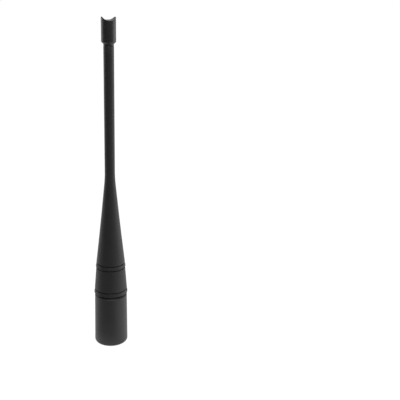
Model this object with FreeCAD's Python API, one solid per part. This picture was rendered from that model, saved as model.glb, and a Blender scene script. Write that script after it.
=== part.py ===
import FreeCAD, Part
import math
import os

# A flexible whip antenna for a hand-held UHF radio.
# It stands on the rim of its base, with its axis along +Z and the origin at the middle of that rim.
# All lengths are in millimetres.

# Clearances between pieces that are pressed, glued or moulded together
slip_gap = 0.02
snap_gap = 0.05
loose_gap = 0.10

# Base sleeve: the rigid skirt round the connector
overall_length = 165.0
base_height = 26.9
base_bottom_radius = 8.42
base_top_radius = 8.13
base_rim_fillet = 1.5
base_top_chamfer = 0.7
recess_radius = 5.9
recess_depth = 6.6
recess_mouth_chamfer = 0.15

# Carrier inside the base sleeve, which holds the connector in its web
carrier_radius = 6.9
web_thickness = 3.6
cavity_radius = 5.4

# Spigot on top of the carrier, which the boot snaps over
spigot_radius = 6.35
spigot_height = 10.0
spigot_chamfer = 0.4
barb_height = 0.35
barb_length = 1.6
barb_setback = 5.0

# Connector body: a small threaded coaxial barrel with a socket contact
barrel_setback = 0.8
barrel_thread_radius = 3.175
barrel_thread_length = 5.2
barrel_mouth_chamfer = 0.25
barrel_relief_radius = 2.85
barrel_counterbore_radius = 2.3
barrel_counterbore_depth = 1.9
flange_radius = 4.6
flange_thickness = 1.2
shank_radius = 3.6
rear_thread_radius = 3.4
rear_thread_length = 4.0
rear_tube_radius = 2.9
rear_tube_length = 1.4
front_bore_radius = 2.05
rear_bore_radius = 2.4

# Rubber washer between the connector's flange and the web
flange_seal_thickness = 0.5

# Flat gasket on the floor of the skirt's recess
gasket_inner_radius = 4.75
gasket_thickness = 0.8

# Centre contact and the two insulators that trap its collar
contact_radius = 0.635
contact_bore_radius = 0.475
contact_bore_depth = 3.0
contact_slot_width = 0.12
contact_slot_length = 2.5
contact_slot_count = 4
contact_collar_radius = 1.1
contact_collar_length = 0.8
contact_tail_radius = 0.5
contact_tail_length = 4.0
rear_insulator_inset = 0.6

# Lock washer and lock nut behind the web
washer_thickness = 0.6
washer_outer_radius = 5.0
washer_gap_width = 0.6
nut_across_flats = 8.6
nut_height = 2.4
nut_corner_chamfer = 0.35

# Coil former and the coil wound on it
former_cup_wall = 1.0
former_cup_depth = 1.2
former_floor = 0.8
former_core_radius = 2.4
former_bore_radius = 1.1
former_flange_radius = 4.2
former_flange_thickness = 0.8
coil_wire_radius = 0.4
coil_wire_flats = 6
coil_turns = 5
coil_steps_per_turn = 12
coil_pitch = 2.0
coil_lead_in = 1.2

# Ferrule crimped on the cable's lower end
ferrule_stub_radius = 0.9
ferrule_stub_length = 4.4
ferrule_collar_radius = 2.4
ferrule_collar_height = 1.0
ferrule_tube_radius = 1.6
ferrule_tube_length = 12.0
ferrule_blind_floor = 1.6

# Heat-shrink tube over the crimp
shrink_wall = 0.28
shrink_end_step = 0.5

# Radiator cable
cable_radius = 0.9

# Core moulding that fills the boot
core_shoulder_radius = 5.7
core_top_radius = 2.3
core_height = 25.0

# Boot and stem, one flexible moulding
stem_radius = 2.48
stem_end_chamfer = 0.2
boot_joint_gap = 0.9
boot_lower_lip_radius = 8.42
boot_lower_radius = 8.17
boot_middle_radius = 7.3
boot_upper_lip_radius = 7.46
boot_upper_radius = 7.18
boot_break_radius = 4.88
boot_break_height = 64.5
boot_top_height = 88.4
boot_blend_length = 6.0

# Two rings moulded round the boot: a band with a lip below and a groove above, the upper one over a notch
ring_spacing = 14.1
ring_lip_land = 0.2
ring_band_height = 1.8
ring_groove_depth = 0.5
ring_groove_height = 0.6
ring_notch_depth = 0.45
ring_notch_height = 0.6

# Tip cap with a saddle cut
cap_height = 13.1
cap_radius = 3.47
cap_collar_radius = 2.45
cap_collar_height = 0.8
cap_collar_chamfer = 0.1
cap_seam_gap = 0.05
saddle_radius = 4.2
saddle_depth = 1.5
horn_chamfer = 0.2

# Ferrule at the tip, which the cap is glued on
tip_ferrule_radius = 1.5
tip_ferrule_length = 11.0
tip_ferrule_floor = 0.8
tip_ferrule_engagement = 7.6


def vec(x, y, z):
    return FreeCAD.Vector(x, y, z)


def line(start, end):
    return Part.LineSegment(vec(start[0], 0, start[1]), vec(end[0], 0, end[1])).toShape()


def arc(start, middle, end):
    points = [vec(point[0], 0, point[1]) for point in (start, middle, end)]
    return Part.Arc(*points).toShape()


def lines(points):
    """Straight edges from each (radius, height) point to the next."""
    return [line(start, end) for start, end in zip(points[:-1], points[1:])]


def turned_edges(edges):
    """A closed outline made of lines and arcs, turned about the axis."""
    wire = Part.Wire(Part.__sortEdges__(edges))
    return Part.Face(wire).revolve(vec(0, 0, 0), vec(0, 0, 1), 360)


def turned(points):
    """A closed outline of (radius, height) points, turned about the axis."""
    return turned_edges(lines(points + points[:1]))


def cylinder(radius, low, high):
    return Part.makeCylinder(radius, high - low, vec(0, 0, low))


def tube(outer_radius, inner_radius, low, high):
    return cylinder(outer_radius, low, high).cut(cylinder(inner_radius, low, high))


def quarter_point(centre, radius, angle):
    """The point of an arc at an angle in degrees, in the outline plane."""
    turn = math.radians(angle)
    return (centre[0] + radius * math.cos(turn), centre[1] + radius * math.sin(turn))


# Heights that several pieces share, counted up from the rim

web_top = recess_depth + web_thickness
spigot_top = base_height + spigot_height

barrel_end = barrel_setback
thread_end = barrel_end + barrel_thread_length
reference_plane = barrel_end + barrel_counterbore_depth
flange_back = recess_depth + flange_thickness
seal_top = flange_back + flange_seal_thickness
rear_thread_top = web_top + rear_thread_length
rear_tube_top = rear_thread_top + rear_tube_length
collar_low = flange_back
collar_high = collar_low + contact_collar_length
rear_insulator_top = rear_tube_top - rear_insulator_inset
contact_tail_top = rear_insulator_top + contact_tail_length

nut_low = web_top + washer_thickness
nut_top = nut_low + nut_height

former_low = rear_tube_top - former_cup_depth
former_floor_low = rear_tube_top + slip_gap
former_floor_top = former_floor_low + former_floor
coil_low = former_floor_top + coil_lead_in
coil_high = coil_low + coil_turns * coil_pitch
coil_step_angle = 2 * math.pi / coil_steps_per_turn
coil_inner_radius = former_core_radius + coil_wire_radius + slip_gap
coil_radius = coil_inner_radius / math.cos(coil_step_angle / 2)
former_flange_low = coil_high + coil_lead_in
former_top = former_flange_low + former_flange_thickness

ferrule_low = former_top - ferrule_stub_length
ferrule_collar_top = former_top + ferrule_collar_height
ferrule_top = ferrule_collar_top + ferrule_tube_length
ferrule_bore_radius = cable_radius + slip_gap
cable_low = ferrule_collar_top + ferrule_blind_floor

shrink_inner_radius = ferrule_tube_radius + slip_gap
shrink_outer_radius = shrink_inner_radius + shrink_wall
shrink_low = ferrule_collar_top + shrink_end_step
shrink_top = ferrule_top - shrink_end_step

core_low = former_flange_low
core_top = spigot_top + core_height

cap_low = overall_length - cap_height
stem_top = cap_low - cap_seam_gap
tip_ferrule_low = cap_low + tip_ferrule_engagement - tip_ferrule_length
tip_ferrule_top = tip_ferrule_low + tip_ferrule_length
cable_top = tip_ferrule_top - tip_ferrule_floor


def barb_outline(gap):
    """The snap barb on the spigot, from bottom to top, grown by a gap for the boot's groove."""
    low = spigot_top - barb_setback
    return [
        (spigot_radius + gap, low - gap),
        (spigot_radius + barb_height + gap, low - gap),
        (spigot_radius + gap, low + barb_length + gap),
    ]


def base_sleeve():
    """Rigid skirt with a rounded rim, a recess below and a seat for the carrier above it."""
    fillet_centre = (base_bottom_radius - base_rim_fillet, base_rim_fillet)
    points = [
        (base_bottom_radius, base_rim_fillet),
        (base_top_radius, base_height - base_top_chamfer),
        (base_top_radius - base_top_chamfer, base_height),
        (carrier_radius + slip_gap, base_height),
        (carrier_radius + slip_gap, recess_depth),
        (recess_radius, recess_depth),
        (recess_radius, recess_mouth_chamfer),
        (recess_radius + recess_mouth_chamfer, 0.0),
        (fillet_centre[0], 0.0),
    ]
    rim_middle = quarter_point(fillet_centre, base_rim_fillet, -45)
    rim = arc(points[-1], rim_middle, points[0])
    return turned_edges(lines(points) + [rim])


def connector_carrier():
    """Moulded insert, pressed into the sleeve: a web for the connector and a barbed spigot on top."""
    points = [
        (carrier_radius, recess_depth),
        (carrier_radius, base_height),
        (spigot_radius, base_height),
    ]
    points += barb_outline(0.0)
    points += [
        (spigot_radius, spigot_top - spigot_chamfer),
        (spigot_radius - spigot_chamfer, spigot_top),
        (cavity_radius, spigot_top),
        (cavity_radius, web_top),
        (shank_radius + slip_gap, web_top),
        (shank_radius + slip_gap, seal_top),
        (flange_radius + slip_gap, seal_top),
        (flange_radius + slip_gap, recess_depth),
    ]
    return turned(points)


def connector_body():
    """Turned brass body: threaded barrel, flange, shank, rear thread and rear tube."""
    return turned([
        (barrel_counterbore_radius, barrel_end),
        (barrel_thread_radius - barrel_mouth_chamfer, barrel_end),
        (barrel_thread_radius, barrel_end + barrel_mouth_chamfer),
        (barrel_thread_radius, thread_end),
        (barrel_relief_radius, thread_end),
        (barrel_relief_radius, recess_depth),
        (flange_radius, recess_depth),
        (flange_radius, flange_back),
        (shank_radius, flange_back),
        (shank_radius, web_top),
        (rear_thread_radius, web_top),
        (rear_thread_radius, rear_thread_top),
        (rear_tube_radius, rear_thread_top),
        (rear_tube_radius, rear_tube_top),
        (rear_bore_radius, rear_tube_top),
        (rear_bore_radius, collar_low),
        (front_bore_radius, collar_low),
        (front_bore_radius, reference_plane),
        (barrel_counterbore_radius, reference_plane),
    ])


def flange_seal():
    """Flat rubber washer, clamped between the connector's flange and the web."""
    return tube(flange_radius, shank_radius + slip_gap, flange_back, seal_top)


def face_gasket():
    """Flat rubber ring on the floor of the recess."""
    outer_radius = recess_radius - slip_gap
    return tube(outer_radius, gasket_inner_radius, recess_depth - gasket_thickness, recess_depth)


def front_dielectric():
    """Insulator in the barrel, flush with the reference plane."""
    return tube(
        front_bore_radius - slip_gap,
        contact_radius + slip_gap,
        reference_plane,
        collar_low,
    )


def rear_dielectric():
    """Insulator behind the contact's collar, with a pocket for it."""
    bead = tube(
        rear_bore_radius - slip_gap,
        contact_radius + slip_gap,
        collar_low,
        rear_insulator_top,
    )
    pocket = cylinder(contact_collar_radius + slip_gap, collar_low, collar_high + slip_gap)
    return bead.cut(pocket)


def socket_contact():
    """Turned contact: slotted socket in front, captive collar, solder tail behind."""
    contact = turned([
        (0.0, reference_plane + contact_bore_depth),
        (contact_bore_radius, reference_plane + contact_bore_depth),
        (contact_bore_radius, reference_plane),
        (contact_radius, reference_plane),
        (contact_radius, collar_low),
        (contact_collar_radius, collar_low),
        (contact_collar_radius, collar_high),
        (contact_radius, collar_high),
        (contact_radius, rear_insulator_top),
        (contact_tail_radius, rear_insulator_top),
        (contact_tail_radius, contact_tail_top),
        (0.0, contact_tail_top),
    ])
    for index in range(contact_slot_count):
        slot = Part.makeBox(
            contact_radius * 2,
            contact_slot_width,
            contact_slot_length,
            vec(0, -contact_slot_width / 2, reference_plane),
        )
        turn = 360.0 / contact_slot_count * index
        slot.rotate(vec(0, 0, 0), vec(0, 0, 1), turn)
        contact = contact.cut(slot)
    return contact


def lock_washer():
    """Split spring washer between web and nut."""
    ring = tube(washer_outer_radius, rear_thread_radius + loose_gap, web_top, nut_low)
    gap = Part.makeBox(
        washer_outer_radius * 2,
        washer_gap_width,
        washer_thickness * 2,
        vec(0, -washer_gap_width / 2, web_top - washer_thickness / 2),
    )
    return ring.cut(gap)


def lock_nut():
    """Thin hexagon nut with its corners chamfered on both faces."""
    corner_radius = nut_across_flats / 2 / math.cos(math.radians(30))
    corners = []
    for index in range(6):
        turn = math.radians(60 * index)
        corners.append(vec(corner_radius * math.cos(turn), corner_radius * math.sin(turn), nut_low))
    outline = Part.Face(Part.makePolygon(corners + corners[:1]))
    hexagon = outline.extrude(vec(0, 0, nut_height))
    crown = turned([
        (0.0, nut_low),
        (corner_radius - nut_corner_chamfer, nut_low),
        (corner_radius, nut_low + nut_corner_chamfer),
        (corner_radius, nut_top - nut_corner_chamfer),
        (corner_radius - nut_corner_chamfer, nut_top),
        (0.0, nut_top),
    ])
    bore = cylinder(rear_thread_radius + slip_gap, nut_low, nut_top)
    return hexagon.common(crown).cut(bore)


def coil_former():
    """Moulded bobbin: a cup on the connector's rear tube, a hollow core with wire slots, a top flange."""
    cup_radius = rear_tube_radius + slip_gap + former_cup_wall
    former = turned([
        (rear_tube_radius + slip_gap, former_low),
        (cup_radius, former_low),
        (cup_radius, former_floor_top),
        (former_core_radius, former_floor_top),
        (former_core_radius, former_flange_low),
        (former_flange_radius, former_flange_low),
        (former_flange_radius, former_top),
        (former_bore_radius, former_top),
        (former_bore_radius, former_floor_low),
        (rear_tube_radius + slip_gap, former_floor_low),
    ])
    slot_width = 2 * (coil_wire_radius + snap_gap)
    for height in (coil_low, coil_high):
        corner = vec(0, -slot_width / 2, height - slot_width / 2)
        slot = Part.makeBox(former_core_radius * 2, slot_width, slot_width, corner)
        former = former.cut(slot)
    return former


def coil_route():
    """Middle line of the coil wire: a lead from the contact, the helix, a lead to the ferrule."""
    steps = coil_turns * coil_steps_per_turn
    route = [vec(contact_tail_radius + slip_gap, 0, coil_low)]
    for step in range(steps + 1):
        turn = step * coil_step_angle
        height = coil_low + coil_pitch * step / coil_steps_per_turn
        route.append(vec(coil_radius * math.cos(turn), coil_radius * math.sin(turn), height))
    route.append(vec(ferrule_stub_radius + slip_gap, 0, coil_high))
    return route


def matching_coil():
    """Wire with a six-sided section, bent along the coil's route with mitred corners."""
    route = coil_route()
    corners = []
    for flat in range(coil_wire_flats):
        turn = 2 * math.pi * (flat + 0.5) / coil_wire_flats
        offset = vec(0, coil_wire_radius * math.cos(turn), coil_wire_radius * math.sin(turn))
        corners.append(route[0] + offset)
    section = Part.makePolygon(corners + corners[:1])
    mitred = 1
    return Part.makePolygon(route).makePipeShell([section], True, False, mitred)


def cable_ferrule():
    """Turned brass ferrule: solder stub below, seating collar, crimp tube above."""
    return turned([
        (0.0, ferrule_low),
        (ferrule_stub_radius, ferrule_low),
        (ferrule_stub_radius, former_top),
        (ferrule_collar_radius, former_top),
        (ferrule_collar_radius, ferrule_collar_top),
        (ferrule_tube_radius, ferrule_collar_top),
        (ferrule_tube_radius, ferrule_top),
        (ferrule_bore_radius, ferrule_top),
        (ferrule_bore_radius, cable_low),
        (0.0, cable_low),
    ])


def heat_shrink():
    """Thin tube over the crimp."""
    return tube(shrink_outer_radius, shrink_inner_radius, shrink_low, shrink_top)


def whip_cable():
    """Flexible steel radiator between the two ferrules."""
    return cylinder(cable_radius, cable_low, cable_top)


def core_moulding():
    """Tapered plug: fills the boot, plugs the carrier's cavity and centres the ferrule."""
    skirt_radius = cavity_radius - slip_gap
    pocket_radius = ferrule_collar_radius + slip_gap
    flange_pocket_radius = former_flange_radius + slip_gap
    bore_radius = shrink_outer_radius + slip_gap
    return turned([
        (skirt_radius, core_low),
        (skirt_radius, spigot_top + slip_gap),
        (core_shoulder_radius, spigot_top + slip_gap),
        (core_top_radius, core_top),
        (ferrule_bore_radius, core_top),
        (ferrule_bore_radius, ferrule_top + slip_gap),
        (bore_radius, ferrule_top + slip_gap),
        (bore_radius, ferrule_collar_top + slip_gap),
        (pocket_radius, ferrule_collar_top + slip_gap),
        (pocket_radius, former_top + slip_gap),
        (flange_pocket_radius, former_top + slip_gap),
        (flange_pocket_radius, core_low),
    ])


def ring_outline(low, lip_radius, radius_above):
    """A moulded ring from bottom to top: its lip, a band that leans in, and the square groove over it."""
    band_top = low + ring_band_height
    groove_floor = radius_above - ring_groove_depth
    groove_top = band_top + ring_groove_height
    return [
        (lip_radius, low),
        (lip_radius, low + ring_lip_land),
        (radius_above, band_top),
        (groove_floor, band_top),
        (groove_floor, groove_top),
        (radius_above, groove_top),
    ]


def boot_outline():
    """Outside of the boot from its lower lip up to the flank, with its two rings."""
    lower_ring_low = base_height + boot_joint_gap
    upper_ring_low = lower_ring_low + ring_spacing
    notch_low = upper_ring_low - ring_notch_height
    notch_floor = boot_middle_radius - ring_notch_depth
    points = ring_outline(lower_ring_low, boot_lower_lip_radius, boot_lower_radius)
    points += [
        (boot_middle_radius, notch_low),
        (notch_floor, notch_low),
        (notch_floor, upper_ring_low),
    ]
    return points + ring_outline(upper_ring_low, boot_upper_lip_radius, boot_upper_radius)


def whip_sheath():
    """Stem and boot as one flexible moulding, hollow where the core and the spigot sit."""
    taper = (boot_break_radius - stem_radius) / (boot_top_height - boot_break_height)
    half_blend = boot_blend_length / 2
    blend_low = (stem_radius + taper * half_blend, boot_top_height - half_blend)
    blend_middle = (stem_radius + taper * half_blend / 4, boot_top_height)
    blend_high = (stem_radius, boot_top_height + half_blend)
    flank = boot_outline() + [(boot_break_radius, boot_break_height), blend_low]
    tip_socket_radius = tip_ferrule_radius + slip_gap
    core_shoulder_height = spigot_top + 2 * slip_gap
    inside = [
        blend_high,
        (stem_radius, stem_top - stem_end_chamfer),
        (stem_radius - stem_end_chamfer, stem_top),
        (tip_socket_radius, stem_top),
        (tip_socket_radius, tip_ferrule_low - slip_gap),
        (ferrule_bore_radius, tip_ferrule_low - slip_gap),
        (ferrule_bore_radius, core_top + slip_gap),
        (core_top_radius + slip_gap, core_top + slip_gap),
        (core_shoulder_radius + slip_gap, core_shoulder_height),
        (spigot_radius + snap_gap, core_shoulder_height),
    ]
    inside += list(reversed(barb_outline(snap_gap)))
    inside += [
        (spigot_radius + snap_gap, flank[0][1]),
        flank[0],
    ]
    blend = arc(blend_low, blend_middle, blend_high)
    return turned_edges(lines(flank) + [blend] + lines(inside))


def tip_ferrule():
    """Closed ferrule on the cable's upper end, half in the stem and half in the cap."""
    return turned([
        (ferrule_bore_radius, tip_ferrule_low),
        (tip_ferrule_radius, tip_ferrule_low),
        (tip_ferrule_radius, tip_ferrule_top),
        (0.0, tip_ferrule_top),
        (0.0, cable_top + slip_gap),
        (ferrule_bore_radius, cable_top + slip_gap),
    ])


def tip_cap():
    """Moulded cap with a collar below and a saddle cut across its top."""
    bevel_low = cap_low + cap_collar_height
    bevel_top = bevel_low + cap_radius - cap_collar_radius
    horn_low = overall_length - horn_chamfer
    socket_radius = tip_ferrule_radius + slip_gap
    socket_top = tip_ferrule_top + slip_gap
    cap = turned([
        (socket_radius, cap_low),
        (cap_collar_radius - cap_collar_chamfer, cap_low),
        (cap_collar_radius, cap_low + cap_collar_chamfer),
        (cap_collar_radius, bevel_low),
        (cap_radius, bevel_top),
        (cap_radius, horn_low),
        (cap_radius - horn_chamfer, overall_length),
        (0.0, overall_length),
        (0.0, socket_top),
        (socket_radius, socket_top),
    ])
    cutter_height = overall_length - saddle_depth + saddle_radius
    reach = cap_radius * 2
    cutter = Part.makeCylinder(saddle_radius, reach * 2, vec(0, -reach, cutter_height), vec(0, 1, 0))
    return cap.cut(cutter)


PIECES = (
    tip_cap,
    tip_ferrule,
    whip_cable,
    whip_sheath,
    heat_shrink,
    cable_ferrule,
    core_moulding,
    coil_former,
    matching_coil,
    base_sleeve,
    connector_carrier,
    lock_nut,
    lock_washer,
    connector_body,
    flange_seal,
    face_gasket,
    front_dielectric,
    rear_dielectric,
    socket_contact,
)

os.makedirs("parts", exist_ok=True)
for piece in PIECES:
    shape = piece()
    shape.exportStep("parts/" + piece.__name__ + ".step")
    box = shape.BoundBox
    print(
        "%-18s solids %d  valid %s  volume %8.2f mm3  z %7.2f to %7.2f"
        % (piece.__name__, len(shape.Solids), shape.isValid(), shape.Volume, box.ZMin, box.ZMax)
    )
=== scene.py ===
# %% [markdown]
# A flexible whip antenna for a hand-held radio, dressed for a studio picture.
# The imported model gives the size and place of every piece. This file adds what the eye sees: rounded
# moulded edges, a real thread, a stranded cable, surface finishes, the light and the camera.

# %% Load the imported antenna
import math

import bmesh
import bpy
from mathutils import Matrix, Vector


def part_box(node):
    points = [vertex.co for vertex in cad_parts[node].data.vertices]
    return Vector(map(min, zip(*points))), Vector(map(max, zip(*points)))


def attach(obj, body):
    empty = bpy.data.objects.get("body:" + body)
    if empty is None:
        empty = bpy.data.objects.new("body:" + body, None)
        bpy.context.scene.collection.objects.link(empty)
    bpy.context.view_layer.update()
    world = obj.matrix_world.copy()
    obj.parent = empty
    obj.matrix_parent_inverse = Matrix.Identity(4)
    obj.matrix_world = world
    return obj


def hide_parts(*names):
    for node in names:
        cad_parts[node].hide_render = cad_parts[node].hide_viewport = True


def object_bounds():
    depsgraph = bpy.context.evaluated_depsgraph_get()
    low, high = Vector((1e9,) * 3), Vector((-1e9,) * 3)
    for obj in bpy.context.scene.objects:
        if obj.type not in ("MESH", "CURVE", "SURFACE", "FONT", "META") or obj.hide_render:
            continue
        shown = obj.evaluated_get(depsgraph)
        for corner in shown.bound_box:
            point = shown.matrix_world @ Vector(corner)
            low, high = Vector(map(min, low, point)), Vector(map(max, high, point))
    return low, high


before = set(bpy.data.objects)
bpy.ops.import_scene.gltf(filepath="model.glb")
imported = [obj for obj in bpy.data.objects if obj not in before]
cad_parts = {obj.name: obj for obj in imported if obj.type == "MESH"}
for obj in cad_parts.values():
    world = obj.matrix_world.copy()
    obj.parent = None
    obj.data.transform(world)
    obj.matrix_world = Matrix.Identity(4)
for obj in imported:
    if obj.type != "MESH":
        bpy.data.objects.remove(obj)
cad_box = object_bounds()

print("nodes:", ", ".join(sorted(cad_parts)))

# %% [markdown]
# Nearly every piece of an antenna is turned or moulded round one axis. So one helper makes most of
# them: it draws half a section as a loop of edges, rounds the corners, and spins the loop once round.
# The alternative, stacking cylinders, would leave seams where the real moulding has none.
# Rounding the loop before it is spun costs almost nothing and gives every edge a highlight.

# %% Millimetres, and the box of a node in them
MM = 0.001
BODY = "root"


def low(node):
    """Height of a node's lowest point, in millimetres."""
    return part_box(node)[0].z / MM


def high(node):
    """Height of a node's highest point, in millimetres."""
    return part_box(node)[1].z / MM


def reach(node):
    """Radius of a node's widest point, in millimetres."""
    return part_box(node)[1].x / MM


print("the antenna is %.1f mm tall" % high("tip_cap"))
print("its base is %.2f mm across" % (2 * reach("base_sleeve")))

# %% The lathe
LATHE_STEPS = 128
LONGEST_EDGE = 4.0
CORNER_SEGMENTS = 3
SOFT_BEND_SEGMENTS = 12
SOFT_BEND_FROM = 1.0
SEAM_WELD = 1e-7


def draw_outline(maker, corners, closed=True):
    """Joins (radius, height, rounding) corners by edges and rounds them. An open one ends on the axis."""
    points = [maker.verts.new((radius * MM, 0, height * MM)) for radius, height, _ in corners]
    following = points[1:] + points[:1] if closed else points[1:]
    for start, end in zip(points, following):
        maker.edges.new((start, end))
    for point, (_, _, rounding) in zip(points, corners):
        if rounding > 0:
            segments = CORNER_SEGMENTS if rounding < SOFT_BEND_FROM else SOFT_BEND_SEGMENTS
            bmesh.ops.bevel(
                maker, geom=[point], offset=rounding * MM, offset_type="OFFSET",
                affect="VERTICES", segments=segments, profile=0.5, material=-1,
            )


def split_long_edges(maker, longest):
    """Cuts edges longer than a length in millimetres, so that long walls have rings to shade on."""
    for edge in list(maker.edges):
        cuts = int(edge.calc_length() / (longest * MM))
        if cuts > 0:
            bmesh.ops.subdivide_edges(maker, edges=[edge], cuts=cuts)


def spin_round(maker, steps=LATHE_STEPS):
    """Spins everything in the mesh once round the antenna's axis and closes seam and poles."""
    bmesh.ops.spin(
        maker, geom=maker.verts[:] + maker.edges[:], cent=(0, 0, 0), axis=(0, 0, 1),
        dvec=(0, 0, 0), angle=2 * math.pi, steps=steps, use_merge=True,
        use_normal_flip=False, use_duplicate=False,
    )
    bmesh.ops.remove_doubles(maker, verts=maker.verts, dist=SEAM_WELD)


def finish_piece(maker, name, replaced):
    """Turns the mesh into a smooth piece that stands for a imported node."""
    bmesh.ops.recalc_face_normals(maker, faces=maker.faces)
    mesh = bpy.data.meshes.new(name)
    maker.to_mesh(mesh)
    maker.free()
    mesh.polygons.foreach_set("use_smooth", [True] * len(mesh.polygons))
    piece = bpy.data.objects.new(name, mesh)
    bpy.context.scene.collection.objects.link(piece)
    normals = piece.modifiers.new("even highlights", "WEIGHTED_NORMAL")
    normals.keep_sharp = True
    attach(piece, BODY)
    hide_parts(replaced)
    print("%s: %d faces" % (name, len(mesh.polygons)))
    return piece


def lathe(name, corners, replaced):
    """A closed outline, rounded and spun, as a piece of its own."""
    maker = bmesh.new()
    draw_outline(maker, corners)
    split_long_edges(maker, LONGEST_EDGE)
    spin_round(maker)
    return finish_piece(maker, name, replaced)


# %% [markdown]
# The boot and the stem are one flexible moulding. Seen in section it is a band with a lip below and a
# square groove above, a long flank, a notch under a second such band, and a cone that runs into the
# stem through a soft bend. The grooves are less than a millimetre deep, but each draws a dark line
# with a light edge round the boot, so they are cut into the outline and not painted. The inside
# follows the ferrules, the core and the barb.

# %% Sizes of the boot and the stem
GAP = 0.02
SNAP_GAP = 0.05
sheath_low = low("whip_sheath")
sheath_high = high("whip_sheath")
lip_radius = reach("whip_sheath")
spigot_top = high("connector_carrier")

lower_radius = 8.17
middle_radius = 7.3
upper_lip_radius = 7.46
upper_radius = 7.18
stem_radius = 2.48
flank_break_radius = 4.88
flank_break_height = 64.5
flank_break_bend = 5.0
cone_top = 88.4
cone_top_bend = 3.0
ring_spacing = 14.1
band_height = 1.8
lip_land = 0.45
lip_rounding = 0.22
groove_depth = 0.7
groove_height = 0.52
notch_depth = 0.7
notch_height = 0.55
# Roundings for a sharp corner, a softer one, and the stem's end under the cap.
crisp = 0.06
soft = 0.12
stem_end_rounding = 0.2
core_top_radius = 2.3
core_low_radius = 5.7
spigot_radius = 6.35
barb_depth = 5.0
barb_height = 1.6
barb_reach = 0.35
print("the boot and the stem run from %.1f to %.1f mm" % (sheath_low, sheath_high))


# %% The outline of the boot and the stem
def ring_corners(bottom, lip, above):
    """A lip, a band that leans in from it, the square groove over the band, and the wall above."""
    band_top = bottom + band_height
    groove_top = band_top + groove_height
    return [
        (lip, bottom, lip_rounding),
        (lip, bottom + lip_land, soft),
        (above, band_top, crisp),
        (above - groove_depth, band_top, crisp),
        (above - groove_depth, groove_top, crisp),
        (above, groove_top, crisp),
    ]


def notch_corners(top):
    """The notch under the upper ring."""
    inner = middle_radius - notch_depth
    return [
        (middle_radius, top - notch_height, crisp),
        (inner, top - notch_height, crisp),
        (inner, top, crisp),
    ]


def sheath_inside():
    """The hollow that the ferrules, the cable, the core and the barbed spigot fill, from the top down."""
    cable_radius = reach("whip_cable") + GAP
    tip_radius = reach("tip_ferrule") + GAP
    tip_low = low("tip_ferrule") - GAP
    core_top = high("core_moulding") + GAP
    shoulder = spigot_top + 2 * GAP
    socket_wall = spigot_radius + SNAP_GAP
    barb_low = spigot_top - barb_depth - SNAP_GAP
    barb_top = spigot_top - barb_depth + barb_height + SNAP_GAP
    return [
        (tip_radius, sheath_high, 0),
        (tip_radius, tip_low, 0),
        (cable_radius, tip_low, 0),
        (cable_radius, core_top, 0),
        (core_top_radius + GAP, core_top, 0),
        (core_low_radius + GAP, shoulder, 0),
        (socket_wall, shoulder, 0),
        (socket_wall, barb_top, 0),
        (socket_wall + barb_reach, barb_low, 0),
        (socket_wall, barb_low, 0),
        (socket_wall, sheath_low, 0),
    ]


boot_corners = ring_corners(sheath_low, lip_radius, lower_radius)
boot_corners += notch_corners(sheath_low + ring_spacing)
boot_corners += ring_corners(sheath_low + ring_spacing, upper_lip_radius, upper_radius)
boot_corners += [
    (flank_break_radius, flank_break_height, flank_break_bend),
    (stem_radius, cone_top, cone_top_bend),
    (stem_radius, sheath_high, stem_end_rounding),
]
sheath = lathe("antenna_sheath", boot_corners + sheath_inside(), "whip_sheath")

# %% [markdown]
# The base is a harder moulding: a straight sleeve with a very slight draft, a generously rounded rim
# that the antenna stands on, and a small step at the top. The step leaves a groove under the boot's
# lip, which reads as a dark line all round. Its inside has the recess for the radio's collar and a
# seat for the carrier above it. A spun outline with a large rounding at the rim gives all of it.

# %% The base sleeve
rim_radius = reach("base_sleeve")
base_top = high("base_sleeve")
top_radius = 8.13
joint_depth = 0.7
joint_height = 0.36
joint_bevel = 0.22
rim_rounding = 1.5
recess_radius = 5.9
recess_rounding = 0.15
recess_depth = low("connector_carrier")
carrier_seat = reach("connector_carrier") + GAP

base_corners = [
    (rim_radius, 0.0, rim_rounding),
    (top_radius, base_top - joint_height - joint_bevel, crisp),
    (top_radius - joint_bevel, base_top - joint_height, crisp),
    (top_radius - joint_depth, base_top - joint_height, 0),
    (top_radius - joint_depth, base_top, 0),
    (carrier_seat, base_top, 0),
    (carrier_seat, recess_depth, 0),
    (recess_radius, recess_depth, 0),
    (recess_radius, 0.0, recess_rounding),
]
base = lathe("moulded_base", base_corners, "base_sleeve")

# %% [markdown]
# The cap is spun like the rest, and then a saddle is pressed into its top. A boolean cut would work
# too, but it leaves slivers along the rim. Here the top zone of the mesh is squeezed down to the
# saddle's height instead: every vertex keeps its share of the way up, so the rounded rim stays
# rounded and the two horns keep their points.

# %% The tip cap before the saddle
cap_low = low("tip_cap")
cap_high = high("tip_cap")
cap_radius = reach("tip_cap")
collar_radius = 2.45
collar_height = 0.8
socket_radius = reach("tip_ferrule") + GAP
socket_top = high("tip_ferrule") + GAP
saddle_depth = 1.55
saddle_steepness = 3.0
saddle_zone = 3.2
rim_softness = 0.35
cap_ring_spacing = 0.2
horn_radius = cap_radius - rim_softness
bevel_low = cap_low + collar_height
bevel_high = bevel_low + cap_radius - collar_radius

cap_corners = [
    (0.0, socket_top, 0),
    (socket_radius, socket_top, 0),
    (socket_radius, cap_low, 0),
    (collar_radius, cap_low, crisp),
    (collar_radius, bevel_low, crisp),
    (cap_radius, bevel_high, soft),
    (cap_radius, cap_high, rim_softness),
    (0.0, cap_high, 0),
]
print("the cap is %.2f mm across, over a collar of %.2f mm" % (2 * cap_radius, 2 * collar_radius))


# %% Press the saddle into the cap
def saddle_height(x):
    """Height of the cap's top in millimetres, at a distance across it: flat in the middle, then steep."""
    rise = min(1.0, abs(x) / horn_radius) ** saddle_steepness
    return cap_high - saddle_depth * (1.0 - rise)


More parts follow.
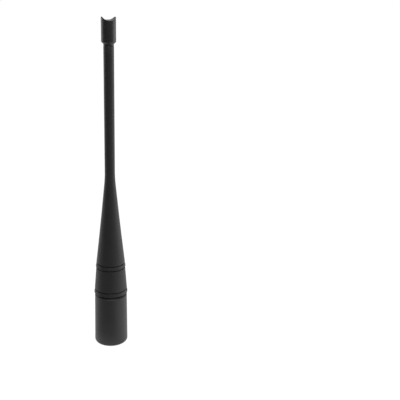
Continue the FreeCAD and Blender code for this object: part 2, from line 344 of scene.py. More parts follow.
def press_saddle(maker):
    """Squeezes the cap's top zone down to the saddle, each vertex by its share of the zone."""
    zone_low = cap_high - saddle_zone
    for point in maker.verts:
        x, z = point.co.x / MM, point.co.z / MM
        if z > zone_low:
            share = (z - zone_low) / saddle_zone
            point.co.z = (zone_low + share * (saddle_height(x) - zone_low)) * MM


cap_maker = bmesh.new()
draw_outline(cap_maker, cap_corners, closed=False)
split_long_edges(cap_maker, cap_ring_spacing)
spin_round(cap_maker)
press_saddle(cap_maker)
cap = finish_piece(cap_maker, "moulded_cap", "tip_cap")

# %% [markdown]
# The connector's barrel has a fine outside thread, 36 turns to the inch. A thread is one tooth that
# climbs as it goes round, so one pitch of it is spun with a lift at every step. The coil that this
# makes is longer than the barrel, and two flat cuts trim it. A chamfer presses the crests in at both
# ends, so the thread starts thin as a cut one does. The plain body is spun on its own and meets it.

# %% Sizes of the connector
barrel_end = low("connector_body")
thread_radius = 3.175
thread_root = 2.85
thread_length = 5.2
inch = 25.4
turns_per_inch = 36
thread_pitch = inch / turns_per_inch
counterbore_radius = 2.3
reference_plane = low("socket_contact")
flange_radius = 4.6
flange_back = low("flange_seal")
shank_radius = 3.6
web_top = low("lock_washer")
rear_thread_radius = 3.4
rear_thread_root = 3.12
rear_thread_length = 4.0
rear_tube_radius = 2.9
front_bore = reach("front_dielectric") + GAP
rear_bore = reach("rear_dielectric") + GAP
body_top = high("connector_body")
print("the connector is %.2f mm long, with a thread every %.3f mm" % (body_top - barrel_end, thread_pitch))

# %% A thread, wound and trimmed
THREAD_STEPS = 96
SPARE_TURNS = 2
LEAD_IN_TURNS = 1.5
THREAD_WELD = 1e-6
CUT_TOLERANCE = 1e-8
# Each pair is a share of the pitch upwards and a share of the tooth's height outwards.
TOOTH = [(0.0, 0.0), (0.06, 0.0), (0.27, 0.5), (0.48, 1.0), (0.58, 1.0), (0.79, 0.5), (1.0, 0.0)]


def tooth(maker, crest, root, bottom):
    """One pitch of a thread in section: root, flank, crest and flank, drawn from a height upwards."""
    points = []
    for climb, lift in TOOTH:
        radius = root + (crest - root) * lift
        points.append(maker.verts.new((radius * MM, 0, (bottom + climb * thread_pitch) * MM)))
    for start, end in zip(points[:-1], points[1:]):
        maker.edges.new((start, end))


def trim(maker, height, keep_above):
    """Cuts the mesh level at a height and removes one side."""
    bmesh.ops.bisect_plane(
        maker, geom=maker.verts[:] + maker.edges[:] + maker.faces[:], dist=CUT_TOLERANCE,
        plane_co=(0, 0, height * MM), plane_no=(0, 0, 1),
        clear_inner=keep_above, clear_outer=not keep_above,
    )


def wind_thread(maker, crest, root, bottom, top):
    """A thread from bottom to top, its crests pressed in by a chamfer at both ends."""
    turns = math.ceil((top - bottom) / thread_pitch) + SPARE_TURNS
    tooth(maker, crest, root, bottom - LEAD_IN_TURNS * thread_pitch)
    bmesh.ops.spin(
        maker, geom=maker.verts[:] + maker.edges[:], cent=(0, 0, 0), axis=(0, 0, 1),
        dvec=(0, 0, thread_pitch * MM / THREAD_STEPS), angle=2 * math.pi * turns,
        steps=THREAD_STEPS * turns, use_merge=False, use_normal_flip=False, use_duplicate=False,
    )
    bmesh.ops.remove_doubles(maker, verts=maker.verts, dist=THREAD_WELD)
    trim(maker, bottom, keep_above=True)
    trim(maker, top, keep_above=False)
    for point in maker.verts:
        radius = math.hypot(point.co.x, point.co.y) / MM
        height = point.co.z / MM
        limit = min(radius, root + abs(height - bottom), root + abs(height - top))
        point.co.x *= limit / radius
        point.co.y *= limit / radius


# %% The connector's body round its threads
BODY_WELD = 2e-6
SHARP_FROM = math.radians(35)


def add_bmesh(maker, other):
    """Adds a second bmesh to the first one and frees it."""
    part = bpy.data.meshes.new("part")
    other.to_mesh(part)
    other.free()
    maker.from_mesh(part)
    bpy.data.meshes.remove(part)


def spin_strip(maker, corners):
    """Spins an open outline, from one thread's end to the next."""
    strip = bmesh.new()
    points = [strip.verts.new((radius * MM, 0, height * MM)) for radius, height in corners]
    for start, end in zip(points[:-1], points[1:]):
        strip.edges.new((start, end))
    spin_round(strip, THREAD_STEPS)
    add_bmesh(maker, strip)


thread_end = barrel_end + thread_length
rear_thread_end = web_top + rear_thread_length
body_maker = bmesh.new()
wind_thread(body_maker, thread_radius, thread_root, barrel_end, thread_end)
rear_maker = bmesh.new()
wind_thread(rear_maker, rear_thread_radius, rear_thread_root, web_top, rear_thread_end)
add_bmesh(body_maker, rear_maker)
spin_strip(body_maker, [
    (thread_root, thread_end),
    (thread_root, recess_depth),
    (flange_radius, recess_depth),
    (flange_radius, flange_back),
    (shank_radius, flange_back),
    (shank_radius, web_top),
    (rear_thread_root, web_top),
])
spin_strip(body_maker, [
    (rear_thread_root, rear_thread_end),
    (rear_tube_radius, rear_thread_end),
    (rear_tube_radius, body_top),
    (rear_bore, body_top),
    (rear_bore, flange_back),
    (front_bore, flange_back),
    (front_bore, reference_plane),
    (counterbore_radius, reference_plane),
    (counterbore_radius, barrel_end),
    (thread_root, barrel_end),
])
bmesh.ops.remove_doubles(body_maker, verts=body_maker.verts, dist=BODY_WELD)
# A trimmed thread's end has a few more corners than the plain rim it meets, which leaves slits.
loose = [vert for vert in body_maker.verts if vert.is_boundary and len(vert.link_edges) == 2]
bmesh.ops.dissolve_verts(body_maker, verts=loose)
slits = [edge for edge in body_maker.edges if edge.is_boundary]
bmesh.ops.holes_fill(body_maker, edges=slits, sides=3)
still_open = sum(edge.is_boundary for edge in body_maker.edges)
print("edges of slits closed:", len(slits) - still_open, "still open:", still_open)
connector = finish_piece(body_maker, "threaded_barrel", "connector_body")
connector.data.set_sharp_from_angle(angle=SHARP_FROM)

# %% [markdown]
# The coil is enamelled wire on a bobbin. A curve with a round bevel is the natural way to bend wire:
# its points follow a helix, and two more at each end lead it in to the contact and to the ferrule. The
# curve becomes a mesh at the end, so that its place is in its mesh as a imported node's is.

# %% The matching coil
wire_radius = 0.4
coil_turns = 5
coil_pitch = 2.0
coil_points_per_turn = 24
bobbin_radius = 2.4
wire_play = 0.08
lead_in = (0.55, 1.5)
lead_out = (1.9, 0.95)
wire_roundness = 4
helix_radius = bobbin_radius + wire_radius + wire_play
coil_middle = (low("matching_coil") + high("matching_coil")) / 2
coil_bottom = coil_middle - coil_turns * coil_pitch / 2


def coil_route():
    """Lead in from the contact, the helix, and the lead out to the ferrule."""
    route = [Vector((distance, 0.0, coil_bottom)) for distance in lead_in]
    for step in range(coil_turns * coil_points_per_turn + 1):
        turn = 2 * math.pi * step / coil_points_per_turn
        height = coil_bottom + coil_pitch * step / coil_points_per_turn
        route.append(Vector((helix_radius * math.cos(turn), helix_radius * math.sin(turn), height)))
    top = route[-1].z
    return route + [Vector((distance, 0.0, top)) for distance in lead_out]


def bend_wire(name, route, radius):
    """A round wire along a route in millimetres, as a mesh."""
    curve = bpy.data.curves.new(name, "CURVE")
    curve.dimensions = "3D"
    curve.bevel_depth = radius * MM
    curve.bevel_resolution = wire_roundness
    curve.use_fill_caps = True
    spline = curve.splines.new("POLY")
    spline.points.add(len(route) - 1)
    for point, place in zip(spline.points, route):
        point.co = (place.x * MM, place.y * MM, place.z * MM, 1)
    holder = bpy.data.objects.new(name + "_route", curve)
    bpy.context.scene.collection.objects.link(holder)
    bpy.context.view_layer.update()
    bent = holder.evaluated_get(bpy.context.evaluated_depsgraph_get())
    mesh = bpy.data.meshes.new_from_object(bent)
    bpy.data.objects.remove(holder)
    maker = bmesh.new()
    maker.from_mesh(mesh)
    bpy.data.meshes.remove(mesh)
    return maker


coil_maker = bend_wire("coil_wire", coil_route(), wire_radius)
bmesh.ops.remove_doubles(coil_maker, verts=coil_maker.verts, dist=SEAM_WELD)
coil = finish_piece(coil_maker, "wound_coil", "matching_coil")

# %% [markdown]
# The radiator is a stranded steel cable: one straight wire with six wires laid round it. Six circles
# are spun together with a lift at each step, which lays all six at once.

# %% The stranded cable
cable_low = low("whip_cable")
cable_high = high("whip_cable")
strands_across = 3
strand_radius = reach("whip_cable") / strands_across
lay_length = 11.0
strand_count = 6
strand_sides = 8
lay_steps_per_turn = 20


def add_strand(maker, distance, turn):
    """A circle for one strand's section, at a distance from the axis."""
    place = Matrix.Rotation(turn, 4, "Z") @ Matrix.Translation((distance * MM, 0, cable_low * MM))
    made = bmesh.ops.create_circle(
        maker, cap_ends=False, segments=strand_sides, radius=strand_radius * MM, matrix=place,
    )
    return made["verts"]


def lay_cable():
    """Six strands laid round a straight one, with their ends closed."""
    maker = bmesh.new()
    for strand in range(strand_count):
        add_strand(maker, 2 * strand_radius, 2 * math.pi * strand / strand_count)
    length = cable_high - cable_low
    steps = round(length / lay_length * lay_steps_per_turn)
    bmesh.ops.spin(
        maker, geom=maker.verts[:] + maker.edges[:], cent=(0, 0, 0), axis=(0, 0, 1),
        dvec=(0, 0, length * MM / steps), angle=2 * math.pi * length / lay_length,
        steps=steps, use_merge=False, use_normal_flip=False, use_duplicate=False,
    )
    core = add_strand(maker, 0, 0)
    core_edges = {edge for point in core for edge in point.link_edges}
    lifted = bmesh.ops.extrude_edge_only(maker, edges=list(core_edges))["geom"]
    tops = [item for item in lifted if isinstance(item, bmesh.types.BMVert)]
    bmesh.ops.translate(maker, verts=tops, vec=(0, 0, length * MM))
    open_edges = [edge for edge in maker.edges if edge.is_boundary]
    bmesh.ops.holes_fill(maker, edges=open_edges, sides=0)
    return maker


cable = finish_piece(lay_cable(), "stranded_cable", "whip_cable")

# %% [markdown]
# Moulded plastic and rubber are never perfectly even. Three effects are shared by many finishes here,
# so each is a node group with its own inputs: the fine grain of a moulding tool, the rings that a
# lathe leaves on metal, and the slow drift in gloss that handling leaves on everything.
# All of them read Object coordinates, so they stay on the piece when it moves.

# %% Helpers for shader node groups
def new_group(name, inputs, outputs):
    """An empty shader node group with float or vector inputs and float outputs."""
    group = bpy.data.node_groups.new(name, "ShaderNodeTree")
    for label, kind, value in inputs:
        socket = group.interface.new_socket(name=label, in_out="INPUT", socket_type=kind)
        if kind == "NodeSocketFloat":
            socket.default_value = value
    for label in outputs:
        group.interface.new_socket(name=label, in_out="OUTPUT", socket_type="NodeSocketFloat")
    return group, group.nodes.new("NodeGroupInput"), group.nodes.new("NodeGroupOutput")


def math_node(tree, operation, first, second):
    """A math node whose inputs are sockets or plain numbers."""
    node = tree.nodes.new("ShaderNodeMath")
    node.operation = operation
    for slot_input, value in zip(node.inputs, (first, second)):
        if isinstance(value, (int, float)):
            slot_input.default_value = value
        else:
            tree.links.new(value, slot_input)
    return node.outputs[0]


def noise_node(tree, vector, scale, detail=2.0):
    """Noise whose scale is a socket or a number; gives its factor."""
    node = tree.nodes.new("ShaderNodeTexNoise")
    node.inputs["Detail"].default_value = detail
    tree.links.new(vector, node.inputs["Vector"])
    if isinstance(scale, (int, float)):
        node.inputs["Scale"].default_value = scale
    else:
        tree.links.new(scale, node.inputs["Scale"])
    return node.outputs["Fac"]


# %% The grain of a moulding tool
BROAD_SCALE = 0.07
FINE_SHARE = 0.8
BROAD_SHARE = 0.2


def make_grain_group():
    """Fine pits and a coarser unevenness, for rubber and plastic."""
    group, start, end = new_group(
        "moulded grain",
        [("Vector", "NodeSocketVector", None), ("Grains per metre", "NodeSocketFloat", 3000.0)],
        ["Height", "Fine", "Broad"],
    )
    vector, scale = start.outputs["Vector"], start.outputs["Grains per metre"]
    fine = noise_node(group, vector, scale, detail=3.0)
    broad = noise_node(group, vector, math_node(group, "MULTIPLY", scale, BROAD_SCALE))
    fine_part = math_node(group, "MULTIPLY", fine, FINE_SHARE)
    broad_part = math_node(group, "MULTIPLY", broad, BROAD_SHARE)
    mixed = math_node(group, "ADD", fine_part, broad_part)
    group.links.new(mixed, end.inputs["Height"])
    group.links.new(fine, end.inputs["Fine"])
    group.links.new(broad, end.inputs["Broad"])
    return group


# %% The rings that a lathe leaves
BAND_SCALE = 0.08


def make_turning_group():
    """Fine rings round the axis, on walls and on end faces alike."""
    group, start, end = new_group(
        "turning marks",
        [("Vector", "NodeSocketVector", None), ("Rings per metre", "NodeSocketFloat", 9000.0)],
        ["Height", "Gloss"],
    )
    split = group.nodes.new("ShaderNodeSeparateXYZ")
    group.links.new(start.outputs["Vector"], split.inputs[0])
    x_squared = math_node(group, "POWER", split.outputs["X"], 2.0)
    y_squared = math_node(group, "POWER", split.outputs["Y"], 2.0)
    across = math_node(group, "ADD", x_squared, y_squared)
    radius = math_node(group, "SQRT", across, 0.0)
    along = math_node(group, "ADD", radius, split.outputs["Z"])
    ring = group.nodes.new("ShaderNodeCombineXYZ")
    group.links.new(along, ring.inputs["Z"])
    marks = noise_node(group, ring.outputs[0], start.outputs["Rings per metre"])
    band_scale = math_node(group, "MULTIPLY", start.outputs["Rings per metre"], BAND_SCALE)
    bands = noise_node(group, ring.outputs[0], band_scale, detail=1.0)
    group.links.new(marks, end.inputs["Height"])
    group.links.new(bands, end.inputs["Gloss"])
    return group


# %% The drift in gloss
PATCHES_PER_METRE = 180.0
NOISE_MIDDLE = 0.5


def make_handling_group():
    """Slow patches, a few millimetres across, that lift or lower the gloss."""
    group, start, end = new_group(
        "handling",
        [("Vector", "NodeSocketVector", None), ("Amount", "NodeSocketFloat", 0.05)],
        ["Offset"],
    )
    patches = noise_node(group, start.outputs["Vector"], PATCHES_PER_METRE, detail=4.0)
    centred = math_node(group, "SUBTRACT", patches, NOISE_MIDDLE)
    scaled = math_node(group, "MULTIPLY", centred, start.outputs["Amount"])
    group.links.new(scaled, end.inputs["Offset"])
    return group


GRAIN = make_grain_group()
TURNING = make_turning_group()
HANDLING = make_handling_group()
print("node groups:", ", ".join(group.name for group in (GRAIN, TURNING, HANDLING)))

# %% Helpers for materials
RAMP_DARK_AT = 0.3
RAMP_LIGHT_AT = 0.7


def new_material(name):
    """A material with a Principled shader and Object coordinates to hang textures on."""
    material = bpy.data.materials.new(name)
    material.use_nodes = True
    tree = material.node_tree
    shader = tree.nodes["Principled BSDF"]
    place = tree.nodes.new("ShaderNodeTexCoord")
    return material, tree, shader, place.outputs["Object"]


def use_group(tree, group, vector, **values):
    """Places a node group in a material and feeds it coordinates and plain numbers."""
    node = tree.nodes.new("ShaderNodeGroup")
    node.node_tree = group
    tree.links.new(vector, node.inputs["Vector"])
    for label, value in values.items():
        node.inputs[label.replace("_", " ")].default_value = value
    return node


def add_bump(tree, shader, height, distance, strength):
    """Bump from a height, with its depth in metres."""
    bump = tree.nodes.new("ShaderNodeBump")
    bump.inputs["Distance"].default_value = distance
    bump.inputs["Strength"].default_value = strength
    tree.links.new(height, bump.inputs["Height"])
    tree.links.new(bump.outputs["Normal"], shader.inputs["Normal"])


def shade_between(tree, factor, dark, light):
    """A colour ramp from dark to light, driven by a factor."""
    ramp = tree.nodes.new("ShaderNodeValToRGB")
    ramp.color_ramp.elements[0].position = RAMP_DARK_AT
    ramp.color_ramp.elements[1].position = RAMP_LIGHT_AT
    ramp.color_ramp.elements[0].color = (*dark, 1)
    ramp.color_ramp.elements[1].color = (*light, 1)
    tree.links.new(factor, ramp.inputs["Fac"])
    return ramp.outputs["Color"]


# %% [markdown]
# Black rubber and black plastic look alike in the picture: what tells them apart is the gloss along
# the edges and the size of the grain. The colour is kept very dark, because most of the light that
# reaches the eye from a matte black moulding is reflected by its surface and not by its pigment.

# %% Moulded rubber and plastic
GRAIN_STRENGTH = 0.35
GRAIN_GLOSS = 0.06
MOULDED_DRIFT = 0.12


def moulded(name, dark, light, roughness, grain=3000.0, depth=0.00003, specular=0.5):
    """A moulded finish: grain as bump, a faint drift in colour and gloss."""
    material, tree, shader, place = new_material(name)
    pits = use_group(tree, GRAIN, place, Grains_per_metre=grain)
    drift = use_group(tree, HANDLING, place, Amount=MOULDED_DRIFT)
    tree.links.new(shade_between(tree, pits.outputs["Broad"], dark, light), shader.inputs["Base Color"])
    gloss = math_node(tree, "ADD", drift.outputs["Offset"], roughness)
    gloss = math_node(tree, "ADD", gloss, math_node(tree, "MULTIPLY", pits.outputs["Fine"], GRAIN_GLOSS))
    tree.links.new(gloss, shader.inputs["Roughness"])
    shader.inputs["Specular IOR Level"].default_value = specular
    add_bump(tree, shader, pits.outputs["Height"], depth, GRAIN_STRENGTH)
    return material


def set_sockets(material, **values):
    """Sets plain numbers on the sockets of a material's shader."""
    shader = material.node_tree.nodes["Principled BSDF"]
    for label, value in values.items():
        shader.inputs[label.replace("_", " ")].default_value = value


sheath_rubber = moulded(
    "sheath rubber", dark=(0.0070, 0.0065, 0.0066), light=(0.0095, 0.0089, 0.0091), roughness=0.50,
)
base_plastic = moulded(
    "base plastic", dark=(0.0074, 0.0069, 0.0070), light=(0.0100, 0.0094, 0.0096),
    roughness=0.44, grain=2400.0, specular=0.55,
)
cap_plastic = moulded(
    "cap plastic", dark=(0.0072, 0.0067, 0.0068), light=(0.0097, 0.0091, 0.0093),
    roughness=0.42, grain=2600.0,
)
print("outside:", ", ".join(skin.name for skin in (sheath_rubber, base_plastic, cap_plastic)))

# %% Seals, insulators and inner mouldings
seal_rubber = moulded(
    "seal rubber", dark=(0.012, 0.012, 0.012), light=(0.018, 0.018, 0.018), roughness=0.62, grain=4200.0,
)
core_plastic = moulded(
    "core plastic", dark=(0.05, 0.05, 0.052), light=(0.07, 0.07, 0.072), roughness=0.5, grain=2000.0,
)
former_plastic = moulded(
    "former plastic", dark=(0.60, 0.55, 0.43), light=(0.68, 0.63, 0.52), roughness=0.42, grain=1500.0,
)
dielectric_white = moulded(
    "white insulator", dark=(0.80, 0.80, 0.78), light=(0.86, 0.86, 0.84), roughness=0.38, grain=1800.0,
)
set_sockets(dielectric_white, Subsurface_Weight=0.15, Subsurface_Scale=0.0005)
shrink_plastic = moulded(
    "heat shrink", dark=(0.014, 0.014, 0.015), light=(0.022, 0.022, 0.023),
    roughness=0.4, grain=900.0, depth=0.00006,
)

# %% [markdown]
# Most of the metal pieces are turned on a lathe, and the tool leaves fine rings round each of them. A
# little bump along those rings spreads the highlight as the real rings do. The drawn wires have the
# same finish with weaker rings, so one function makes the brass, the steel and the copper.

# %% Turned and drawn metal
RING_DEPTH = 0.000006
RING_GLOSS = 0.12
METAL_DRIFT = 0.10


def turned_metal(name, dark, light, roughness, rings=9000.0, strength=0.2):
    """A metal with turning rings as bump and bands of gloss."""
    material, tree, shader, place = new_material(name)
    marks = use_group(tree, TURNING, place, Rings_per_metre=rings)
    drift = use_group(tree, HANDLING, place, Amount=METAL_DRIFT)
    tree.links.new(shade_between(tree, marks.outputs["Gloss"], dark, light), shader.inputs["Base Color"])
    gloss = math_node(tree, "ADD", drift.outputs["Offset"], roughness)
    gloss = math_node(tree, "ADD", gloss, math_node(tree, "MULTIPLY", marks.outputs["Gloss"], RING_GLOSS))
    tree.links.new(gloss, shader.inputs["Roughness"])
    shader.inputs["Metallic"].default_value = 1.0
    add_bump(tree, shader, marks.outputs["Height"], RING_DEPTH, strength)
    return material


connector_brass = turned_metal(
    "plated brass", dark=(0.75, 0.55, 0.24), light=(0.83, 0.64, 0.32), roughness=0.2,
)
ferrule_brass = turned_metal(
    "turned brass", dark=(0.66, 0.49, 0.23), light=(0.74, 0.57, 0.30),
    roughness=0.28, rings=6000.0, strength=0.3,
)
washer_steel = turned_metal(
    "plated steel", dark=(0.52, 0.53, 0.55), light=(0.62, 0.63, 0.64), roughness=0.3, rings=5000.0,
)
cable_steel = turned_metal(
    "cable steel", dark=(0.42, 0.42, 0.44), light=(0.54, 0.54, 0.55),
    roughness=0.32, rings=7000.0, strength=0.15,
)
coil_copper = turned_metal(
    "enamelled copper", dark=(0.55, 0.20, 0.09), light=(0.66, 0.27, 0.13),
    roughness=0.24, rings=3000.0, strength=0.1,
)
set_sockets(coil_copper, Coat_Weight=0.6, Coat_Roughness=0.12)
print("metals:", ", ".join(metal.name for metal in (connector_brass, ferrule_brass, coil_copper)))

# %% [markdown]
# Six pieces are made new in this file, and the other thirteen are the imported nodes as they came. Both
# kinds get their finish here, so that one list shows what every piece of the antenna is made of.

# %% Every piece gets its finish
def dress(piece, material):
    """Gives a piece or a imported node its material."""
    if piece.material_slots:
        for place in piece.material_slots:
            place.material = material
    else:
        piece.data.materials.append(material)


NEW_PIECES = {
    sheath: sheath_rubber,
    base: base_plastic,
    cap: cap_plastic,
    connector: connector_brass,
    coil: coil_copper,
    cable: cable_steel,
}
KEPT_NODES = {
    "tip_ferrule": ferrule_brass,
    "heat_shrink": shrink_plastic,
    "cable_ferrule": ferrule_brass,
    "core_moulding": core_plastic,
    "coil_former": former_plastic,
    "connector_carrier": core_plastic,
    "lock_nut": ferrule_brass,
    "lock_washer": washer_steel,
    "flange_seal": seal_rubber,
    "face_gasket": seal_rubber,
    "front_dielectric": dielectric_white,
    "rear_dielectric": dielectric_white,
    "socket_contact": connector_brass,
}
for piece, material in NEW_PIECES.items():
    dress(piece, material)
for node, material in KEPT_NODES.items():
    dress(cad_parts[node], material)
print("dressed %d new pieces and %d packed nodes" % (len(NEW_PIECES), len(KEPT_NODES)))

# %% [markdown]
# The camera stands close to the antenna and looks down on it. It is turned a little from the front,
# which shows the notch in the cap slightly from one side, and its yaw puts the antenna left of the
# middle. A camera could be aimed by a constraint, but the picture also has a small tilt, so place,
# turn, pitch and roll are set as numbers that were fitted to the outline in the picture.

# %% Where the camera stands
CAMERA_TURN = math.radians(12.0)
CAMERA_DISTANCE = 0.3406
CAMERA_HEIGHT = 0.1888
CAMERA_YAW = math.radians(7.48)
CAMERA_PITCH = math.radians(18.09)
CAMERA_ROLL = math.radians(1.79)
SENSOR_WIDTH = 36.0
PHOTO_WIDTH = 400
FOCAL_PIXELS = 720.9
NEAREST = 0.01
FARTHEST = 20.0

camera_data = bpy.data.cameras.new("camera")
camera_data.sensor_width = SENSOR_WIDTH
camera_data.lens = FOCAL_PIXELS / PHOTO_WIDTH * SENSOR_WIDTH
camera_data.clip_start = NEAREST
camera_data.clip_end = FARTHEST
camera = bpy.data.objects.new("camera", camera_data)
bpy.context.scene.collection.objects.link(camera)
camera.matrix_world = (
    Matrix.Translation((
        -CAMERA_DISTANCE * math.sin(CAMERA_TURN),
        -CAMERA_DISTANCE * math.cos(CAMERA_TURN),
        CAMERA_HEIGHT,
    ))
    @ Matrix.Rotation(-(CAMERA_YAW + CAMERA_TURN), 4, "Z")
    @ Matrix.Rotation(math.pi / 2 - CAMERA_PITCH, 4, "X")
    @ Matrix.Rotation(CAMERA_ROLL, 4, "Z")
)
bpy.context.scene.camera = camera
print("camera lens %.1f mm, %.0f mm away" % (camera_data.lens, camera.location.length / MM))

# %% [markdown]
# A matte black object is lit by what it reflects. The world is white to the camera. To glossy rays it
# is white too, but falls off towards the front, where a studio is dark, so that the middle of the
# stem stays deep and the edges pick up the light. The right side of the studio is the brighter one.

# %% The studio's glow by direction
FRONT_GLOW = 0.12
LEFT_GLOW = 0.3
RIGHT_GLOW = 0.55
BACK_GLOW = 1.0
TOP_GLOW = 1.0
# Where each glow starts and is full, along Y for left and back, X for right and Z for top.
LEFT_RANGE = (-0.5, 0.4)
RIGHT_RANGE = (0.2, 0.9)
BACK_RANGE = (0.3, 0.95)
TOP_RANGE = (0.3, 0.8)


def seen_rays(tree):
    """1 for rays that the camera, a glossy surface or glass sends out, and 0 for the rest."""
    path = tree.nodes.new("ShaderNodeLightPath")
    seen = math_node(tree, "MAXIMUM", path.outputs["Is Camera Ray"], path.outputs["Is Glossy Ray"])
    return math_node(tree, "MAXIMUM", seen, path.outputs["Is Transmission Ray"]), path


def map_range(tree, value, from_low, from_high, to_low, to_high):
    """A soft change from one number to another while a value runs through a range."""
    node = tree.nodes.new("ShaderNodeMapRange")
    node.interpolation_type = "SMOOTHSTEP"
    node.inputs["From Min"].default_value = from_low
    node.inputs["From Max"].default_value = from_high
    node.inputs["To Min"].default_value = to_low
    node.inputs["To Max"].default_value = to_high
    tree.links.new(value, node.inputs["Value"])
    return node.outputs["Result"]


def studio_glow(tree, direction):
    """Brightness by direction: dark in front, dim on the left, brighter to the right, back and top."""
    turn = tree.nodes.new("ShaderNodeMapping")
    turn.inputs["Rotation"].default_value = (0, 0, CAMERA_TURN)
    tree.links.new(direction, turn.inputs["Vector"])
    split = tree.nodes.new("ShaderNodeSeparateXYZ")
    tree.links.new(turn.outputs[0], split.inputs[0])
    left = map_range(tree, split.outputs["Y"], *LEFT_RANGE, FRONT_GLOW, LEFT_GLOW)
    right = map_range(tree, split.outputs["X"], *RIGHT_RANGE, 0.0, RIGHT_GLOW - LEFT_GLOW)
    back = map_range(tree, split.outputs["Y"], *BACK_RANGE, 0.0, BACK_GLOW)
    top = map_range(tree, split.outputs["Z"], *TOP_RANGE, 0.0, TOP_GLOW)
    around = math_node(tree, "MAXIMUM", math_node(tree, "ADD", left, right), back)
    return math_node(tree, "MAXIMUM", around, top)


# %% [markdown]
# The floor is a large pale disc. To the eye it has to be as white as the page behind the object and
# still hold a soft shadow, so to camera, glossy and transmitted rays it is part lit and part glowing,
# and to all other rays it is a plain pale floor. What glows back into the black surfaces is painted light:
# it follows the studio, a painted pool of light makes the floor brightest round the base, and it dims
# towards the dark front.

# %% The floor
FLOOR_SIZE = 6.0
FLOOR_SIDES = 64
FLOOR_PALE = 0.8
FLOOR_LIT_SHARE = 0.12
FLOOR_GLOW = 0.97
# A painted pool of light round the antenna and painted light at its base, seen only in reflections.
PAINTED_POOL_GAIN = 2.0
PAINTED_POOL_INNER = 0.08
PAINTED_POOL_OUTER = 0.35
PAINTED_CONTACT_LIGHT = 1.0
PAINTED_CONTACT_INNER = 0.012
PAINTED_CONTACT_OUTER = 0.03
BRIGHTEST = 1.0


def floor_glow_with_painted_pool(tree, is_camera_ray):
    """White to the camera. To mirrors, painted light: the studio's glow, a painted pool round the antenna
    and a painted bright ring at its base.
    """
    place = tree.nodes.new("ShaderNodeTexCoord").outputs["Object"]
    outward = tree.nodes.new("ShaderNodeVectorMath")
    outward.operation = "NORMALIZE"
    tree.links.new(place, outward.inputs[0])
    distance = tree.nodes.new("ShaderNodeVectorMath")
    distance.operation = "LENGTH"
    tree.links.new(place, distance.inputs[0])
    # Painted light: the floor's glow for mirrors is lifted in a pool round the antenna and right at its
    # base.
    painted_pool = map_range(tree, distance.outputs["Value"], PAINTED_POOL_INNER, PAINTED_POOL_OUTER, 1.0 + PAINTED_POOL_GAIN, 1.0)
    painted_contact_light = map_range(
        tree, distance.outputs["Value"], PAINTED_CONTACT_INNER, PAINTED_CONTACT_OUTER, PAINTED_CONTACT_LIGHT, 0.0,
    )
    mirrored = math_node(tree, "MULTIPLY", studio_glow(tree, outward.outputs[0]), painted_pool)
    mirrored = math_node(tree, "MAXIMUM", mirrored, painted_contact_light)
    mirrored = math_node(tree, "MINIMUM", mirrored, BRIGHTEST)
    to_camera = math_node(tree, "MULTIPLY", is_camera_ray, FLOOR_GLOW)
    to_mirrors = math_node(tree, "MULTIPLY", math_node(tree, "SUBTRACT", 1.0, is_camera_ray), mirrored)
    return math_node(tree, "ADD", to_camera, to_mirrors)


def floor_material():
    """A plain pale floor to the light, and a glowing one to eyes and mirrors."""
    material = bpy.data.materials.new("pale floor")
    material.use_nodes = True
    tree = material.node_tree
    tree.nodes.remove(tree.nodes["Principled BSDF"])
    plain = tree.nodes.new("ShaderNodeBsdfDiffuse")
    plain.inputs["Color"].default_value = (FLOOR_PALE, FLOOR_PALE, FLOOR_PALE, 1)
    lit = tree.nodes.new("ShaderNodeBsdfDiffuse")
    lit.inputs["Color"].default_value = (FLOOR_LIT_SHARE, FLOOR_LIT_SHARE, FLOOR_LIT_SHARE, 1)
    factor, path = seen_rays(tree)
    glow = tree.nodes.new("ShaderNodeEmission")
    tree.links.new(floor_glow_with_painted_pool(tree, path.outputs["Is Camera Ray"]), glow.inputs["Strength"])
    seen = tree.nodes.new("ShaderNodeAddShader")
    tree.links.new(lit.outputs[0], seen.inputs[0])
    tree.links.new(glow.outputs[0], seen.inputs[1])
    choice = tree.nodes.new("ShaderNodeMixShader")
    tree.links.new(factor, choice.inputs[0])
    tree.links.new(plain.outputs[0], choice.inputs[1])
    tree.links.new(seen.outputs[0], choice.inputs[2])
    tree.links.new(choice.outputs[0], tree.nodes["Material Output"].inputs["Surface"])
    return material


floor_maker = bmesh.new()
bmesh.ops.create_circle(floor_maker, cap_ends=True, segments=FLOOR_SIDES, radius=FLOOR_SIZE)
floor_mesh = bpy.data.meshes.new("floor")
floor_maker.to_mesh(floor_mesh)
floor_maker.free()
floor = bpy.data.objects.new("floor", floor_mesh)
floor.data.materials.append(floor_material())
bpy.context.scene.collection.objects.link(floor)
print("the floor is a disc %.0f m across" % (2 * FLOOR_SIZE))

# %% [markdown]
# The world has three brightnesses, chosen by the kind of ray. The camera sees plain white behind the
# floor's edge. Glossy and transmitted rays see the studio's glow by direction. All other rays get a
# low, even light, which keeps the floor's shadow soft and the black from falling to nothing.

# %% The world
WORLD_LIGHT = 0.32
CAMERA_WHITE = 1.0


def glow_node(tree, level):
    """A white background whose strength is a number or a socket."""
    node = tree.nodes.new("ShaderNodeBackground")
    node.inputs["Color"].default_value = (1, 1, 1, 1)
    if isinstance(level, (int, float)):
        node.inputs["Strength"].default_value = level
    else:
        tree.links.new(level, node.inputs["Strength"])
    return node.outputs[0]


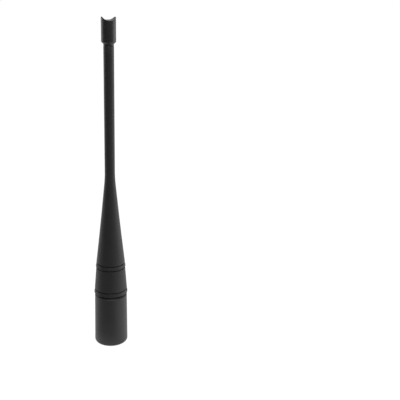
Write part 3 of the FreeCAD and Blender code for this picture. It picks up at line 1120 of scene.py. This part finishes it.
world = bpy.data.worlds.new("studio")
bpy.context.scene.world = world
world.use_nodes = True
world_tree = world.node_tree
world_tree.nodes.remove(world_tree.nodes["Background"])
seen_factor, world_path = seen_rays(world_tree)
by_ray = world_tree.nodes.new("ShaderNodeMixShader")
world_tree.links.new(seen_factor, by_ray.inputs[0])
world_tree.links.new(glow_node(world_tree, WORLD_LIGHT), by_ray.inputs[1])
world_direction = world_tree.nodes.new("ShaderNodeTexCoord").outputs["Generated"]
world_tree.links.new(glow_node(world_tree, studio_glow(world_tree, world_direction)), by_ray.inputs[2])
for_camera = world_tree.nodes.new("ShaderNodeMixShader")
world_tree.links.new(world_path.outputs["Is Camera Ray"], for_camera.inputs[0])
world_tree.links.new(by_ray.outputs[0], for_camera.inputs[1])
world_tree.links.new(glow_node(world_tree, CAMERA_WHITE), for_camera.inputs[2])
world_tree.links.new(for_camera.outputs[0], world_tree.nodes["World Output"].inputs["Surface"])
print("world light %.2f, studio glow %.2f to %.2f" % (WORLD_LIGHT, FRONT_GLOW, BACK_GLOW))

# %% [markdown]
# Three soft boxes do what large diffusers do in a studio. One stands at each side and a little behind,
# so that it grazes the edges, and one hangs high in front. They are weak and large, because the
# antenna is small: strong lamps would bleach the floor and lose the shadow at the rim.

# %% The soft boxes
def soft_box(name, bearing, elevation, distance, width, height, power):
    """An area light that faces the middle of the antenna, at a bearing from the camera's side."""
    lamp = bpy.data.lights.new(name, "AREA")
    lamp.shape = "RECTANGLE"
    lamp.size = width
    lamp.size_y = height
    lamp.energy = power
    turn = math.radians(bearing) - CAMERA_TURN
    lift = math.radians(elevation)
    middle = (cad_box[0] + cad_box[1]) / 2
    away = Vector((math.sin(turn) * math.cos(lift), -math.cos(turn) * math.cos(lift), math.sin(lift)))
    box = bpy.data.objects.new(name, lamp)
    box.location = middle + away * distance
    box.rotation_euler = (-away).to_track_quat("-Z", "Y").to_euler()
    bpy.context.scene.collection.objects.link(box)
    return box


# Bearing and elevation are in degrees, distance, width and height in metres, and power in watts.
SOFT_BOXES = [
    ("right_soft_box", 100, 4, 0.7, 0.7, 0.3, 1.8),
    ("left_soft_box", -120, 4, 0.7, 0.5, 0.3, 1.0),
    ("top_soft_box", 10, 50, 0.9, 0.6, 0.6, 3.5),
]
for soft_box_values in SOFT_BOXES:
    lamp_object = soft_box(*soft_box_values)
    print("%s: %.1f W" % (lamp_object.name, lamp_object.data.energy))

# %% [markdown]
# The Standard view transform shows a colour as it is written. The default one bends the bright end,
# and the white page behind the antenna would turn grey.

# %% The picture's settings
bpy.context.scene.view_settings.view_transform = "Standard"
print("view transform:", bpy.context.scene.view_settings.view_transform)
